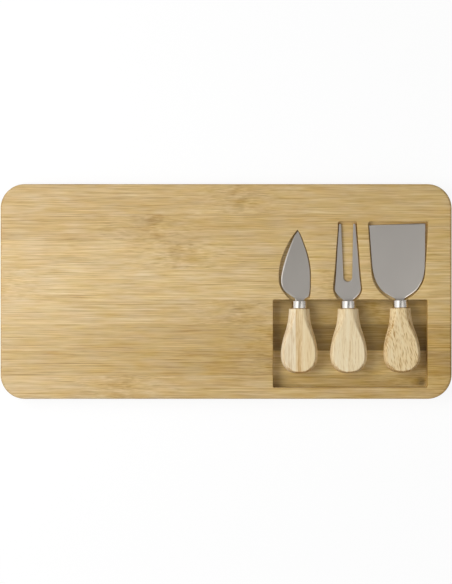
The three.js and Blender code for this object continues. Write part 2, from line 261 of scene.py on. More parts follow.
RECESS_FLOOR = AXIS_HEIGHT - BLADE["thickness"] / 2 - UNDER_BLADE
print("recess floor, mm:", round(RECESS_FLOOR, 2))

# %% The three tools, with the place of the shoulder on the board
TOOLS = {
    "knife": {
        "place": (61.6, -14.4),
        "turn": 0,
        "length": 59,
        "width": 24.6,
        "recess_length": 58.7,
        "recess_width": 27,
        "recess_offset": -0.2,
    },
    "fork": {
        "place": (102.8, -14.4),
        "turn": 0.6,
        "length": 65.1,
        "width": 22.3,
        "recess_length": 65.8,
        "recess_width": 24.3,
        "recess_offset": -0.6,
    },
    "spade": {
        "place": (146.7, -13.8),
        "turn": 2.1,
        "length": 64,
        "width": 47.5,
        "recess_length": 65.7,
        "recess_width": 50.7,
        "recess_offset": -1.8,
    },
}
KNIFE_LEFT = [
    (0.035, -0.155), (0.06, -0.25), (0.1, -0.39), (0.145, -0.52), (0.2, -0.59), (0.28, -0.622),
    (0.36, -0.612), (0.5, -0.54), (0.65, -0.428), (0.8, -0.298), (0.93, -0.165),
]
KNIFE_RIGHT = [
    (0.035, 0.2), (0.065, 0.31), (0.12, 0.355), (0.22, 0.375), (0.33, 0.377), (0.45, 0.362),
    (0.58, 0.313), (0.72, 0.227), (0.86, 0.107), (0.94, 0.03),
]
KNIFE_TIP = (1, -0.045)
KNIFE_RECESS_LEFT = [
    (0, -0.278), (0.06, -0.411), (0.133, -0.525), (0.204, -0.6), (0.276, -0.63), (0.419, -0.625),
    (0.562, -0.567), (0.705, -0.452), (0.848, -0.293), (0.93, -0.175), (1, -0.048),
]
KNIFE_RECESS_RIGHT = [
    (0, 0.322), (0.06, 0.345), (0.133, 0.36), (0.276, 0.37), (0.419, 0.363), (0.562, 0.319),
    (0.705, 0.235), (0.848, 0.126), (0.93, 0.055), (1, -0.048),
]
FORK_SIDE = [
    (0.025, 0.235), (0.05, 0.325), (0.085, 0.42), (0.125, 0.482), (0.165, 0.5), (0.21, 0.484),
    (0.27, 0.466), (0.4, 0.437), (0.53, 0.411), (0.66, 0.385), (0.8, 0.356), (0.92, 0.327),
    (0.975, 0.32),
]
FORK_RECESS_SIDE = [
    (0, 0.33), (0.04, 0.41), (0.08, 0.468), (0.12, 0.498), (0.165, 0.5), (0.373, 0.44),
    (0.629, 0.392), (0.85, 0.342), (0.93, 0.332),
]
FORK_SLOT = {"mouth": 10.1, "foot": 7.4, "length": 48.9, "tip": 2.2, "tip_round_share": 0.33}
SPADE_SIDE = [
    (0.016, 0.08), (0.038, 0.13), (0.065, 0.192), (0.097, 0.258), (0.135, 0.318), (0.205, 0.38),
    (0.275, 0.421), (0.345, 0.447), (0.43, 0.464), (0.55, 0.475), (0.7, 0.483), (0.85, 0.49),
    (0.985, 0.499),
]
SPADE_RECESS_SIDE = [
    (0, 0.135), (0.02, 0.178), (0.055, 0.245), (0.117, 0.325), (0.182, 0.382), (0.246, 0.42),
    (0.31, 0.44), (0.45, 0.456), (0.629, 0.47), (0.8, 0.487), (0.95, 0.498),
]
RECESS_CORNER = 1.8
print("tools:", list(TOOLS))

# %% [markdown]
# ## The blank board
# The glued slab is sawn to a rectangle with round corners, and a round-over bit then runs along
# its upper and lower edge. Here the outline is raised through the steps of both quarter rounds.

# %% Raise the blank
CORNER_RADIUS = 20.5
EDGE_ROUND = 2
EDGE_ROUND_STEPS = 8

outline = rounded_rectangle(board_low, board_high, CORNER_RADIUS * MM)
quarter = quarter_round(EDGE_ROUND * MM, EDGE_ROUND_STEPS)
blank = raised(
    "blank",
    outline,
    [(inwards, board_low.z + below) for inwards, below in reversed(quarter)]
    + [(inwards, board_high.z - below) for inwards, below in quarter],
)
print("blank faces:", len(blank.data.polygons))

# %% [markdown]
# ## The pocket and the recesses
# A router cuts the pocket through the two upper layers, and a shallow recess for each blade into
# the top layer. The sharp upper edges are eased with sandpaper, so each cutting shape flares out
# at the top in a small quarter round. That eased rim is what catches the light in the photo. The
# recesses are sanded less than the pocket.

# %% Make the cutting shapes
POCKET_CORNER = 1.5
POCKET_EASE = 0.45
RECESS_EASE = 0.2
RIM_STEPS = 4
OVERRUN = 1


def cutter(name, outline, floor, ease):
    """A shape that cuts down to a floor and eases the rim at the board's face."""
    ease *= MM
    rim = [(-inwards, board_high.z - below) for inwards, below in quarter_round(ease, RIM_STEPS)]
    top = (-ease, board_high.z + OVERRUN * MM)
    return raised(name, outline, [(0, floor), *rim, top])


def recess_outline(name, right, left):
    """The outline of a recess, with its mouth open to the pocket."""
    tool = TOOLS[name]
    mouth = [Vector((left[-1].x, -OVERRUN)), Vector((right[0].x, -OVERRUN))]
    middle = Vector((tool["place"][0] + tool["recess_offset"], pocket_high.y / MM))
    return [(point + middle) * MM for point in [*right, *left, *mouth]]


def pointed_recess():
    """The knife's recess: its two edges differ and meet in a point."""
    size = (TOOLS["knife"]["recess_length"], TOOLS["knife"]["recess_width"])
    right = smooth_edge(KNIFE_RECESS_RIGHT, *size)
    left = smooth_edge(KNIFE_RECESS_LEFT, *size)
    return recess_outline("knife", right, list(reversed(left))[1:])


def straight_recess(name, shares):
    """The fork's or the spade's recess: even on both sides, with a straight end."""
    length, width = TOOLS[name]["recess_length"], TOOLS[name]["recess_width"]
    side = smooth_edge(shares, length, width)
    end = side[-1].x - RECESS_CORNER
    right = side + arc(end, length - RECESS_CORNER, RECESS_CORNER, 90, CORNER_STEPS // 2)
    return recess_outline(name, right, mirrored(right))


pocket = rounded_rectangle(pocket_low, pocket_high, POCKET_CORNER * MM)
recess_floor = RECESS_FLOOR * MM
cutters = [
    cutter("pocket_cutter", pocket, pocket_low.z, POCKET_EASE),
    cutter("knife_cutter", pointed_recess(), recess_floor, RECESS_EASE),
    cutter("fork_cutter", straight_recess("fork", FORK_RECESS_SIDE), recess_floor, RECESS_EASE),
    cutter("spade_cutter", straight_recess("spade", SPADE_RECESS_SIDE), recess_floor, RECESS_EASE),
]
print("cutting shapes:", [each.name for each in cutters])


# %% Cut them out of a copy of the blank
def plain(made):
    """Keeps the result of an object's modifiers as its own mesh."""
    depsgraph = bpy.context.evaluated_depsgraph_get()
    made.data = bpy.data.meshes.new_from_object(made.evaluated_get(depsgraph))
    made.modifiers.clear()
    return made


carved = copy_of(blank, "carved")
for each in cutters:
    cut = carved.modifiers.new(each.name, "BOOLEAN")
    cut.operation = "DIFFERENCE"
    cut.solver = "MANIFOLD"
    cut.object = each
plain(carved)
print("carved faces:", len(carved.data.polygons))

# %% [markdown]
# ## A tree that saws out a strip
# Strips repeat in all three layers, so one Geometry Nodes tree makes each of them: it keeps what
# lies between two corners and notes where the strip's grain starts. The knife's handle is glued
# up from two staves, and the same tree parts those.


# %% Helpers for node trees
def add(tree, kind, inputs=None, **settings):
    """Adds a node with its settings and its inputs, and returns its first output in use."""
    node = tree.nodes.new(kind)
    for name, value in settings.items():
        setattr(node, name, value)
    for name, value in (inputs or {}).items():
        if isinstance(name, int):
            socket = node.inputs[name]
        else:
            socket = next(each for each in node.inputs if each.enabled and each.name == name)
        for each in value if isinstance(value, list) else [value]:
            if isinstance(each, bpy.types.NodeSocket):
                tree.links.new(each, socket)
            else:
                socket.default_value = each
    return next((each for each in node.outputs if each.enabled), None)


def new_geometry_tree(name, inputs):
    """A tree with a geometry in and out, and named inputs. Returns the tree and its inputs."""
    tree = bpy.data.node_groups.new(name, "GeometryNodeTree")
    tree.interface.new_socket("Geometry", in_out="OUTPUT", socket_type="NodeSocketGeometry")
    tree.interface.new_socket("Geometry", in_out="INPUT", socket_type="NodeSocketGeometry")
    for label, kind in inputs.items():
        tree.interface.new_socket(label, in_out="INPUT", socket_type="NodeSocket" + kind)
    return tree, tree.nodes.new("NodeGroupInput").outputs


def run_tree(made, tree, values):
    """Puts a tree on an object and keeps its result. The inputs are set by their identifiers."""
    modifier = made.modifiers.new(tree.name, "NODES")
    modifier.node_group = tree
    for item in tree.interface.items_tree:
        if item.in_out == "INPUT" and item.name in values:
            modifier[item.identifier] = values[item.name]
    return plain(made)


# %% What both trees share
def box_between(tree, low, high):
    """A box from one corner to the opposite one."""
    size = add(tree, "ShaderNodeVectorMath", {0: high, 1: low}, operation="SUBTRACT")
    total = add(tree, "ShaderNodeVectorMath", {0: high, 1: low}, operation="ADD")
    middle = add(tree, "ShaderNodeVectorMath", {0: total, "Scale": 0.5}, operation="SCALE")
    cube = add(tree, "GeometryNodeMeshCube", {"Size": size})
    return add(tree, "GeometryNodeTransform", {"Geometry": cube, "Translation": middle})


def end_tree(tree, shaped, notes, finish):
    """Notes values on the shape, makes it real and gives it its material."""
    for name, kind, domain, value in notes:
        shaped = add(
            tree,
            "GeometryNodeStoreNamedAttribute",
            {"Geometry": shaped, "Name": name, "Value": value},
            data_type=kind,
            domain=domain,
        )
    real = add(tree, "GeometryNodeRealizeInstances", {"Geometry": shaped})
    finished = add(tree, "GeometryNodeSetMaterial", {"Geometry": real, "Material": finish})
    add(tree, "NodeGroupOutput", {"Geometry": finished})


# %% The strip tree
strip_tree, given = new_geometry_tree(
    "saw_out_strip",
    {
        "Low corner": "Vector",
        "High corner": "Vector",
        "Grain start": "Vector",
        "Fibres": "Vector",
        "Shade": "Vector",
        "Knot": "Float",
        "Finish": "Material",
    },
)
saw_box = box_between(strip_tree, given["Low corner"], given["High corner"])
shaped = add(
    strip_tree,
    "GeometryNodeMeshBoolean",
    {"Mesh": [given["Geometry"], saw_box]},
    operation="INTERSECT",
    solver="MANIFOLD",
)
facing = add(
    strip_tree,
    "ShaderNodeVectorMath",
    {0: add(strip_tree, "GeometryNodeInputNormal"), 1: given["Fibres"]},
    operation="DOT_PRODUCT",
)
facing = add(strip_tree, "ShaderNodeMath", {0: facing}, operation="ABSOLUTE")
notes = (
    ("grain_start", "FLOAT_VECTOR", "POINT", given["Grain start"]),
    ("shade", "FLOAT_VECTOR", "POINT", given["Shade"]),
    ("knot", "FLOAT", "POINT", given["Knot"]),
    ("end_grain", "FLOAT", "FACE", facing),
)
end_tree(strip_tree, shaped, notes, given["Finish"])
print("strip tree nodes:", len(strip_tree.nodes))

# %% [markdown]
# ## Colours and surfaces
# Colours are written as sRGB hex and turned to linear by one function. Wood and bamboo have
# three: the dark of the fibres, the face, and the light between, and a tone from 0 to 1 picks
# from them. The relief that bumps a surface also changes how rough it is.


# %% Helpers for materials
def colour(hexadecimal):
    """An sRGB hex colour as the linear colour that shaders use."""
    channels = [int(hexadecimal[at : at + 2], 16) / 255 for at in (0, 2, 4)]
    linear = [part / 12.92 if part <= 0.04045 else ((part + 0.055) / 1.055) ** 2.4 for part in channels]
    return (*linear, 1)


def new_finish(name, **surface):
    """A new material: its tree and its shader, with the even values set on the shader itself."""
    made = bpy.data.materials.new(name)
    made.use_nodes = True
    shader = made.node_tree.nodes["Principled BSDF"]
    for label, value in surface.items():
        shader.inputs[label.replace("_", " ")].default_value = value
    return made, made.node_tree, shader


def set_stops(ramp, colours):
    """Sets a colour ramp's stops from a table of places and colours."""
    stops = ramp.color_ramp.elements
    stops.remove(stops[1])
    for at, (place, shown) in enumerate(colours.items()):
        stop = stops.new(place) if at else stops[0]
        stop.position, stop.color = place, shown


def dark_to_light(tree, tone, colours):
    """Picks from dark, face and light by a tone from 0 to 1."""
    shown = add(tree, "ShaderNodeValToRGB", {"Fac": tone})
    set_stops(shown.node, {at / 2: colour(each) for at, each in enumerate(colours)})
    return shown


def dress(tree, shader, shown, relief, rough_range, strength, depth):
    """Gives a surface its colour, and from a relief its roughness and a bump with a depth in mm."""
    labels = ("From Min", "From Max", "To Min", "To Max")
    rough = {"Value": relief, **dict(zip(labels, rough_range))}
    bump = {"Height": relief, "Strength": strength, "Distance": depth * MM}
    tree.links.new(shown, shader.inputs["Base Color"])
    tree.links.new(add(tree, "ShaderNodeMapRange", rough), shader.inputs["Roughness"])
    tree.links.new(add(tree, "ShaderNodeBump", bump), shader.inputs["Normal"])


print("white paper, linear:", [round(part, 3) for part in colour("e8e8e8")])

# %% [markdown]
# ## Grain
# Wood and bamboo have fibres that run one way, and their ends show where a piece was sawn. The
# patterns are made in space and drawn out along the fibres, so faces, sides and ends of a piece
# agree, as in solid wood. A grain adds up several layers, from broad bands to fine fibres. Real
# fibres are finer than the render can show, so the finest layers are drawn 0.4 to 0.6 mm wide.


# %% Patterns drawn out along the fibres
def grain_place(tree, turn=0):
    """A place in millimetres with the fibres along X, measured from where the grain starts."""
    place = add(tree, "ShaderNodeTexCoord").node.outputs["Object"]
    start = add(tree, "ShaderNodeAttribute", attribute_name="grain_start").node.outputs["Vector"]
    metric = add(tree, "ShaderNodeVectorMath", {0: place, "Scale": 1 / MM}, operation="SCALE")
    away = add(tree, "ShaderNodeVectorMath", {0: metric, 1: start}, operation="SUBTRACT")
    return add(tree, "ShaderNodeMapping", {"Vector": away, "Rotation": (0, 0, math.radians(turn))})


def drawn_out(tree, place, length, width, kind="ShaderNodeTexNoise", **inputs):
    """A pattern whose cells have a length along the fibres and a width across them, in mm."""
    cells = (1 / length, 1 / width, 1 / width)
    drawn = add(tree, "ShaderNodeVectorMath", {0: place, 1: cells}, operation="MULTIPLY")
    return add(tree, kind, {"Vector": drawn, "Scale": 1.0, **inputs})


def grain(tree, place, tone, layers):
    """Adds layers of drawn-out noise to a tone. Each is (length, width, detail, weight)."""
    for length, width, detail, weight in layers:
        noise = drawn_out(tree, place, length, width, Detail=detail)
        evened = add(tree, "ShaderNodeMath", {0: noise, 1: 0.5}, operation="SUBTRACT")
        tone = add(
            tree, "ShaderNodeMath", {0: evened, 1: weight, 2: tone}, operation="MULTIPLY_ADD"
        )
    return tone


def darker_ends(tree, tone, share):
    """Sawn ends drink up more oil or lacquer than faces, so they are darker."""
    ends = add(tree, "ShaderNodeAttribute", attribute_name="end_grain").node.outputs["Fac"]
    return add(tree, "ShaderNodeMath", {0: ends, 1: -share, 2: tone}, operation="MULTIPLY_ADD")


# %% [markdown]
# ## Bamboo
# A bamboo stem is split and pressed into flat strips. Along a strip run fine fibres, and between
# them the darker bundles that carried the sap: long thin dashes on the face, dots on a sawn end.
# Where the stem had a knuckle, the fibres are short, wander and darken.

# %% Fibres that wander near a knuckle
KNUCKLE_PITCH = 300
WILD_REACH = (12, 70)
WANDER = (1.6, 0.1)
SWIRL_CELL = (50 / 3, 25 / 3)


def knuckle_fibres(tree, place):
    """How far a place is from a knuckle, how wild the fibres are there, and their course."""
    along = add(tree, "ShaderNodeSeparateXYZ", {"Vector": place})
    away = add(tree, "ShaderNodeMath", {0: along, 1: KNUCKLE_PITCH / 2}, operation="PINGPONG")
    wild = add(
        tree,
        "ShaderNodeMapRange",
        {
            "Value": away,
            "From Min": WILD_REACH[0],
            "From Max": WILD_REACH[1],
            "To Min": 1,
            "To Max": 0.1,
        },
        interpolation_type="SMOOTHSTEP",
    )
    wander = add(
        tree, "ShaderNodeMath", {0: wild, 1: WANDER[0], 2: WANDER[1]}, operation="MULTIPLY_ADD"
    )
    swirl = drawn_out(tree, place, *SWIRL_CELL, Detail=1.0).node.outputs["Color"]
    swirl = add(tree, "ShaderNodeVectorMath", {0: swirl, 1: (0.5, 0.5, 0.5)}, operation="SUBTRACT")
    swirl = add(tree, "ShaderNodeVectorMath", {0: swirl, "Scale": wander}, operation="SCALE")
    fibres = add(tree, "ShaderNodeVectorMath", {0: place, 1: swirl}, operation="ADD")
    return away, wild, fibres


# %% The dark marks of a knuckle
SMUDGE_CELL = (25 / 3, 50 / 7)
SMUDGE_EDGE = (0.35, 0.7)
SMUDGE_DEPTH = 0.25
SMUDGE_REACH = 26
KNOT_EDGE = (-2.5, 2)
KNOT_WANDER = 6.0


def smudges(tree, place, away, tone):
    """Darkens a tone in smudges near a knuckle."""
    smudge = add(
        tree,
        "ShaderNodeMapRange",
        {
            "Value": drawn_out(tree, place, *SMUDGE_CELL, Detail=1.0),
            "From Min": SMUDGE_EDGE[0],
            "From Max": SMUDGE_EDGE[1],
            "To Min": 0,
            "To Max": -SMUDGE_DEPTH,
        },
    )
    close = add(
        tree,
        "ShaderNodeMapRange",
        {"Value": away, "From Min": 0, "From Max": SMUDGE_REACH, "To Min": 1, "To Max": 0},
        interpolation_type="SMOOTHSTEP",
    )
    return add(tree, "ShaderNodeMath", {0: smudge, 1: close, 2: tone}, operation="MULTIPLY_ADD")


def cut_knot(tree, place, away):
    """How dark the round middle of a knuckle is. On a few strips the saw cut through one."""
    across = add(tree, "ShaderNodeSeparateXYZ", {"Vector": place}).node.outputs["Y"]
    from_middle = add(tree, "ShaderNodeCombineXYZ", {"X": away, "Y": across})
    reach = add(tree, "ShaderNodeVectorMath", {0: from_middle}, operation="LENGTH")
    blot = add(tree, "ShaderNodeTexNoise", {"Vector": place, "Scale": 0.25, "Detail": 2.0})
    blot = add(
        tree, "ShaderNodeMath", {0: blot, 1: -KNOT_WANDER, 2: reach}, operation="MULTIPLY_ADD"
    )
    edge = {"From Min": KNOT_EDGE[0], "From Max": KNOT_EDGE[1], "To Min": -1, "To Max": 0}
    middle = add(
        tree, "ShaderNodeMapRange", {"Value": blot, **edge}, interpolation_type="SMOOTHSTEP"
    )
    knot = add(tree, "ShaderNodeAttribute", attribute_name="knot").node.outputs["Fac"]
    return add(tree, "ShaderNodeMath", {0: middle, 1: knot}, operation="MULTIPLY")


# %% The tone of a strip
LONG_FIBRES = [(60, 10, 1, 0.2), (16, 2.2, 1, 0.34), (64, 0.6, 1, 1.0), (28, 0.38, 1, 1.3)]
SHORT_FIBRES = [(24, 8, 1, 0.3), (11, 0.6, 1, 0.75), (6, 0.4, 1, 0.5)]
BUNDLE_CELL = (12, 1.2)
BUNDLE_EDGE = (0.08, 0.35)
BUNDLE_TONES = (-0.1, 0.015)
TAMED = 0.45
BAMBOO_ENDS = 0.5


def along_board(tree, start, end):
    """A value that goes evenly from the board's left end to its right end."""
    place = add(tree, "ShaderNodeTexCoord").node.outputs["Object"]
    return add(
        tree,
        "ShaderNodeMapRange",
        {
            "Value": add(tree, "ShaderNodeSeparateXYZ", {"Vector": place}),
            "From Min": board_low.x,
            "From Max": board_high.x,
            "To Min": start,
            "To Max": end,
        },
    )


def bamboo_tone(tree, place, away, wild, fibres, shade):
    """The strip's shade with its fibres, bundles, smudges and darker ends."""
    tame = add(tree, "ShaderNodeMath", {0: wild, 1: -TAMED, 2: 1.0}, operation="MULTIPLY_ADD")
    tone = grain(tree, fibres, 0.0, LONG_FIBRES)
    tone = add(tree, "ShaderNodeMath", {0: tone, 1: tame, 2: shade}, operation="MULTIPLY_ADD")
    short = grain(tree, fibres, 0.0, SHORT_FIBRES)
    tone = add(tree, "ShaderNodeMath", {0: short, 1: wild, 2: tone}, operation="MULTIPLY_ADD")

    # Bundles are 0.6 mm wide. They are drawn 1.2 mm apart, which is as coarse as they need to show.
    bundle = add(
        tree,
        "ShaderNodeMapRange",
        {
            "Value": drawn_out(tree, fibres, *BUNDLE_CELL, kind="ShaderNodeTexVoronoi"),
            "From Min": BUNDLE_EDGE[0],
            "From Max": BUNDLE_EDGE[1],
            "To Min": BUNDLE_TONES[0],
            "To Max": BUNDLE_TONES[1],
        },
        interpolation_type="SMOOTHSTEP",
    )
    tone = add(tree, "ShaderNodeMath", {0: tone, 1: bundle}, operation="ADD")
    return darker_ends(tree, smudges(tree, place, away, tone), BAMBOO_ENDS)


# %% The bamboo finishes
DRIFT_CELL = (20, 6)
DEPTH_DRIFT = 0.3
HUE_DRIFT = 0.012
PAINTED_SHEEN_SATURATION = (0.78, 0.91)
BAMBOO_RELIEF = [(60, 0.9, 1, 1.0), (14, 0.4, 1, 0.8)]
BAMBOO_ROUGH = (0.2, 0.8, 0.52, 0.4)
BAMBOO_BUMP = (0.3, 0.1)


def bamboo(name, tones, crosswise, hue):
    """Pressed bamboo, sanded and lightly oiled: a satin surface with fine raised fibres."""
    made, tree, shader = new_finish(name, Specular_IOR_Level=0.45)
    place = grain_place(tree, 90 if crosswise else 0)
    away, wild, fibres = knuckle_fibres(tree, place)

    # A strip's shade has three numbers: its left end, its right end, and how dark it is. Besides
    # the strip's own tone it holds painted light: sheen on the face, shade on the pocket floor.
    own = add(tree, "ShaderNodeAttribute", attribute_name="shade").node.outputs["Vector"]
    own = add(tree, "ShaderNodeSeparateXYZ", {"Vector": own}).node.outputs
    shade = along_board(tree, own["X"], own["Y"])
    tone = bamboo_tone(tree, place, away, wild, fibres, shade)
    bright = add(tree, "ShaderNodeMath", {0: 1.0, 1: own["Z"]}, operation="SUBTRACT")
    bright = add(
        tree, "ShaderNodeMath", {0: cut_knot(tree, place, away), 1: bright}, operation="ADD"
    )

    # The hue drifts a little between straw and pink along a strip. The colour is also less
    # saturated towards the board's left end: painted sheen of the lamp on the left.
    drift = drawn_out(tree, place, *DRIFT_CELL, Detail=1.0).node.outputs["Color"]
    drift = add(tree, "ShaderNodeSeparateXYZ", {"Vector": drift}).node.outputs
    depth = {0: drift["X"], 1: DEPTH_DRIFT, 2: along_board(tree, *PAINTED_SHEEN_SATURATION)}
    depth = add(tree, "ShaderNodeMath", depth, operation="MULTIPLY_ADD")
    tint = {0: drift["Y"], 1: HUE_DRIFT, 2: hue}
    tint = add(tree, "ShaderNodeMath", tint, operation="MULTIPLY_ADD")
    shown = {"Hue": tint, "Saturation": depth, "Value": bright}
    shown["Color"] = dark_to_light(tree, tone, tones)
    shown = add(tree, "ShaderNodeHueSaturation", shown)
    relief = grain(tree, fibres, 0.5, BAMBOO_RELIEF)
    dress(tree, shader, shown, relief, BAMBOO_ROUGH, *BAMBOO_BUMP)
    return made


BAMBOO_TONES = {
    "pale": ("b18e50", "d9bb85", "f0d8a8"),
    "honey": ("a68345", "cdad76", "e6cc9a"),
    "brown": ("9b783c", "c5a46a", "dec28c"),
}
# The lowest layer is a little greener. It shows mainly as the pocket floor, and the shift is partly its
# own colour and partly a painted tint of the shade there.
LAYER_HUES = {"upper": 0.495, "core": 0.495, "lower": 0.502}
bamboo_finishes = {
    (name, layer): bamboo(f"pressed_bamboo_{name}_{layer}", tones, layer == "core", hue)
    for name, tones in BAMBOO_TONES.items()
    for layer, hue in LAYER_HUES.items()
}
print("bamboo finishes:", len(bamboo_finishes))

# %% [markdown]
# ## Saw the board into strips
# The lowest layer comes from the whole blank, and the two upper layers from the carved one. A
# strip ends where its CAD node's box ends. Where it reaches the outside of the board, the saw box
# goes past it, so that the rounded edge is kept and no two faces lie in one plane.

# %% What differs from strip to strip
# A knuckle is a place along the strip in mm. A shade is the tone at the left end, the tone at
# the right end and, in the lowest layer, how much darker the strip is. Shades are partly each
# strip's own tone. On the face the left ends are also lighter: painted sheen of the lamp on the
# left. On the pocket floor the darkness and the darker right ends are partly painted shade of the
# back wall and the handles. A knot is how strongly it shows and its place across the strip in mm.
SMOOTH_ANGLE = 30
KNUCKLES = {1: 12, 2: -62, 3: -40, 4: 96, 5: 14, 6: 44, 7: 52, 8: -90}
STRIP_TONES_AND_SHEEN = {
    1: (0.47, 0.65), 2: (0.44, 0.58), 3: (0.43, 0.46), 4: (0.43, 0.52),
    5: (0.62, 0.57), 6: (0.66, 0.44), 7: (0.62, 0.29), 8: (0.56, 0.43),
}
FLOOR_KNUCKLES = {1: 0, 2: -90, 3: 60, 4: -20, 5: 120, 6: 20, 7: 158, 8: 165}
# Partly the floor strips' own tone, partly painted shade of the back wall and the handles.
FLOOR_TONES_AND_SHADE = {5: (0.51, 0.4, 0.12), 6: (0.42, 0.18, 0.29), 7: (0.49, 0.44, 0.0), 8: (0.41, 0.39, 0.04)}
HIDDEN_FLOOR_SHADE = (0.46, 0.46, 0)
CORE_SHADE = (0.5, 0.5, 0)
CORE_KNUCKLE_STEP = 83.0
STRIP_APART = (37.0, 11.0)
KNOTS = {"upper_strip_1": (0.12, 71), "lower_strip_8": (0.5, -76.5)}
slot_of = {part["node"]: part["material_slot"] for part in record["subparts"]}
print("strips with a cut knot:", list(KNOTS))


# %% Helpers for finished pieces and saw boxes
def finish_piece(made, body, replaced):
    """Smooths a piece's round faces, and says what it rides on and what it stands for."""
    shape = bmesh.new()
    shape.from_mesh(made.data)
    bmesh.ops.recalc_face_normals(shape, faces=shape.faces)
    shape.to_mesh(made.data)
    shape.free()
    made.data.shade_smooth()
    made.data.set_sharp_from_angle(angle=math.radians(SMOOTH_ANGLE))
    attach(made, body)
    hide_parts(replaced)


def saw_corners(low, high):
    """The corners of the saw box: past the board wherever the strip reaches its outside."""
    low, high = low.copy(), high.copy()
    for axis in range(3):
        if low[axis] < board_low[axis] + EDGE_ROUND * MM:
            low[axis] = board_low[axis] - OVERRUN * MM
        if high[axis] > board_high[axis] - EDGE_ROUND * MM:
            high[axis] = board_high[axis] + OVERRUN * MM
    return low, high


# %% Make the strips
for turn, node in enumerate(board_nodes):
    layer, _, number, *_ = node.split("_")
    number = int(number)
    strip = copy_of(blank if layer == "lower" else carved, node + "_bamboo")
    low, high = saw_corners(*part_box(node))
    slot = slot_of[node]
    if layer == "upper":
        knuckle, shade = KNUCKLES[number], (*STRIP_TONES_AND_SHEEN[number], 0)
    elif layer == "core":
        knuckle, shade = turn * CORE_KNUCKLE_STEP % KNUCKLE_PITCH, CORE_SHADE
    else:
        knuckle, shade = FLOOR_KNUCKLES[number], FLOOR_TONES_AND_SHADE.get(number, HIDDEN_FLOOR_SHADE)
    knot, knot_middle = KNOTS.get(node, (0.0, number * STRIP_APART[0]))
    values = {
        "Low corner": low,
        "High corner": high,
        "Grain start": Vector((knuckle, knot_middle, turn * STRIP_APART[1])),
        "Fibres": (0, 1, 0) if layer == "core" else (1, 0, 0),
        "Shade": shade,
        "Knot": knot,
        "Finish": bamboo_finishes[slot.split("_")[1], layer],
    }
    run_tree(strip, strip_tree, values)
    finish_piece(strip, "board", node)
for used in (blank, carved, *cutters):
    bpy.data.objects.remove(used)
print("strips:", len(board_nodes))

# %% [markdown]
# ## A tree that turns a piece
# The handles and ferrules are turned on a lathe. This tree spins a profile about the tool's axis:
# it lays a grid with one column of points for each side, and moves every point to where the
# profile and the turn put it. Two flats are then sanded on, which melt softly into the round.

# %% A grid with a column for each side
turning_tree, given = new_geometry_tree(
    "turn_on_lathe",
    {
        "Sides": "Int",
        "Half thickness": "Float",
        "Flat ease": "Float",
        "Slot low": "Vector",
        "Slot high": "Vector",
        "Grain start": "Vector",
        "Finish": "Material",
    },
)
profile_count = add(
    turning_tree, "GeometryNodeAttributeDomainSize", {"Geometry": given["Geometry"]}
)
columns = add(turning_tree, "ShaderNodeMath", {0: given["Sides"], 1: 1.0}, operation="ADD")
grid = add(
    turning_tree, "GeometryNodeMeshGrid", {"Vertices X": columns, "Vertices Y": profile_count}
)
index = add(turning_tree, "GeometryNodeInputIndex")
ring = add(turning_tree, "ShaderNodeMath", {0: index, 1: profile_count}, operation="MODULO")
column = add(turning_tree, "ShaderNodeMath", {0: index, 1: profile_count}, operation="DIVIDE")
column = add(turning_tree, "ShaderNodeMath", {0: column}, operation="FLOOR")
print("nodes for the grid:", len(turning_tree.nodes))

# %% Where the profile and the turn put each point
on_profile = add(
    turning_tree,
    "GeometryNodeSampleIndex",
    {
        "Geometry": given["Geometry"],
        "Value": add(turning_tree, "GeometryNodeInputPosition"),
        "Index": ring,
    },
    data_type="FLOAT_VECTOR",
    domain="POINT",
)
radius = add(turning_tree, "ShaderNodeSeparateXYZ", {"Vector": on_profile})
along = radius.node.outputs["Y"]
share = add(turning_tree, "ShaderNodeMath", {0: column, 1: given["Sides"]}, operation="DIVIDE")
angle = add(turning_tree, "ShaderNodeMath", {0: share, 1: 2 * math.pi}, operation="MULTIPLY")
sideways = add(turning_tree, "ShaderNodeMath", {0: angle}, operation="COSINE")
upwards = add(turning_tree, "ShaderNodeMath", {0: angle}, operation="SINE")
sideways = add(turning_tree, "ShaderNodeMath", {0: radius, 1: sideways}, operation="MULTIPLY")
upwards = add(turning_tree, "ShaderNodeMath", {0: radius, 1: upwards}, operation="MULTIPLY")
print("nodes with the turn:", len(turning_tree.nodes))

# %% Sand the two flats
WELD_REACH = 0.002

away = add(turning_tree, "ShaderNodeMath", {0: upwards}, operation="ABSOLUTE")
sanded = add(
    turning_tree,
    "ShaderNodeMath",
    {0: away, 1: given["Half thickness"], 2: given["Flat ease"]},
    operation="SMOOTH_MIN",
)
side = add(turning_tree, "ShaderNodeMath", {0: upwards}, operation="SIGN")
sanded = add(turning_tree, "ShaderNodeMath", {0: sanded, 1: side}, operation="MULTIPLY")
position = add(turning_tree, "ShaderNodeCombineXYZ", {"X": sideways, "Y": along, "Z": sanded})
placed = add(turning_tree, "GeometryNodeSetPosition", {"Geometry": grid, "Position": position})
welded = add(
    turning_tree,
    "GeometryNodeMergeByDistance",
    {"Geometry": placed, "Distance": WELD_REACH * MM},
)
print("nodes with the flats:", len(turning_tree.nodes))

# %% Cut the slot for the tang and note the grain
slot_box = box_between(turning_tree, given["Slot low"], given["Slot high"])
shaped = add(
    turning_tree,
    "GeometryNodeMeshBoolean",
    {"Mesh 1": add(turning_tree, "GeometryNodeFlipFaces", {"Mesh": welded}), "Mesh 2": slot_box},
    operation="DIFFERENCE",
    solver="MANIFOLD",
)
facing = add(
    turning_tree, "ShaderNodeSeparateXYZ", {"Vector": add(turning_tree, "GeometryNodeInputNormal")}
)
facing = add(turning_tree, "ShaderNodeMath", {0: facing.node.outputs["Y"]}, operation="ABSOLUTE")
notes = (
    ("grain_start", "FLOAT_VECTOR", "POINT", given["Grain start"]),
    ("end_grain", "FLOAT", "POINT", facing),
)
end_tree(turning_tree, shaped, notes, given["Finish"])
print("turning tree nodes:", len(turning_tree.nodes))

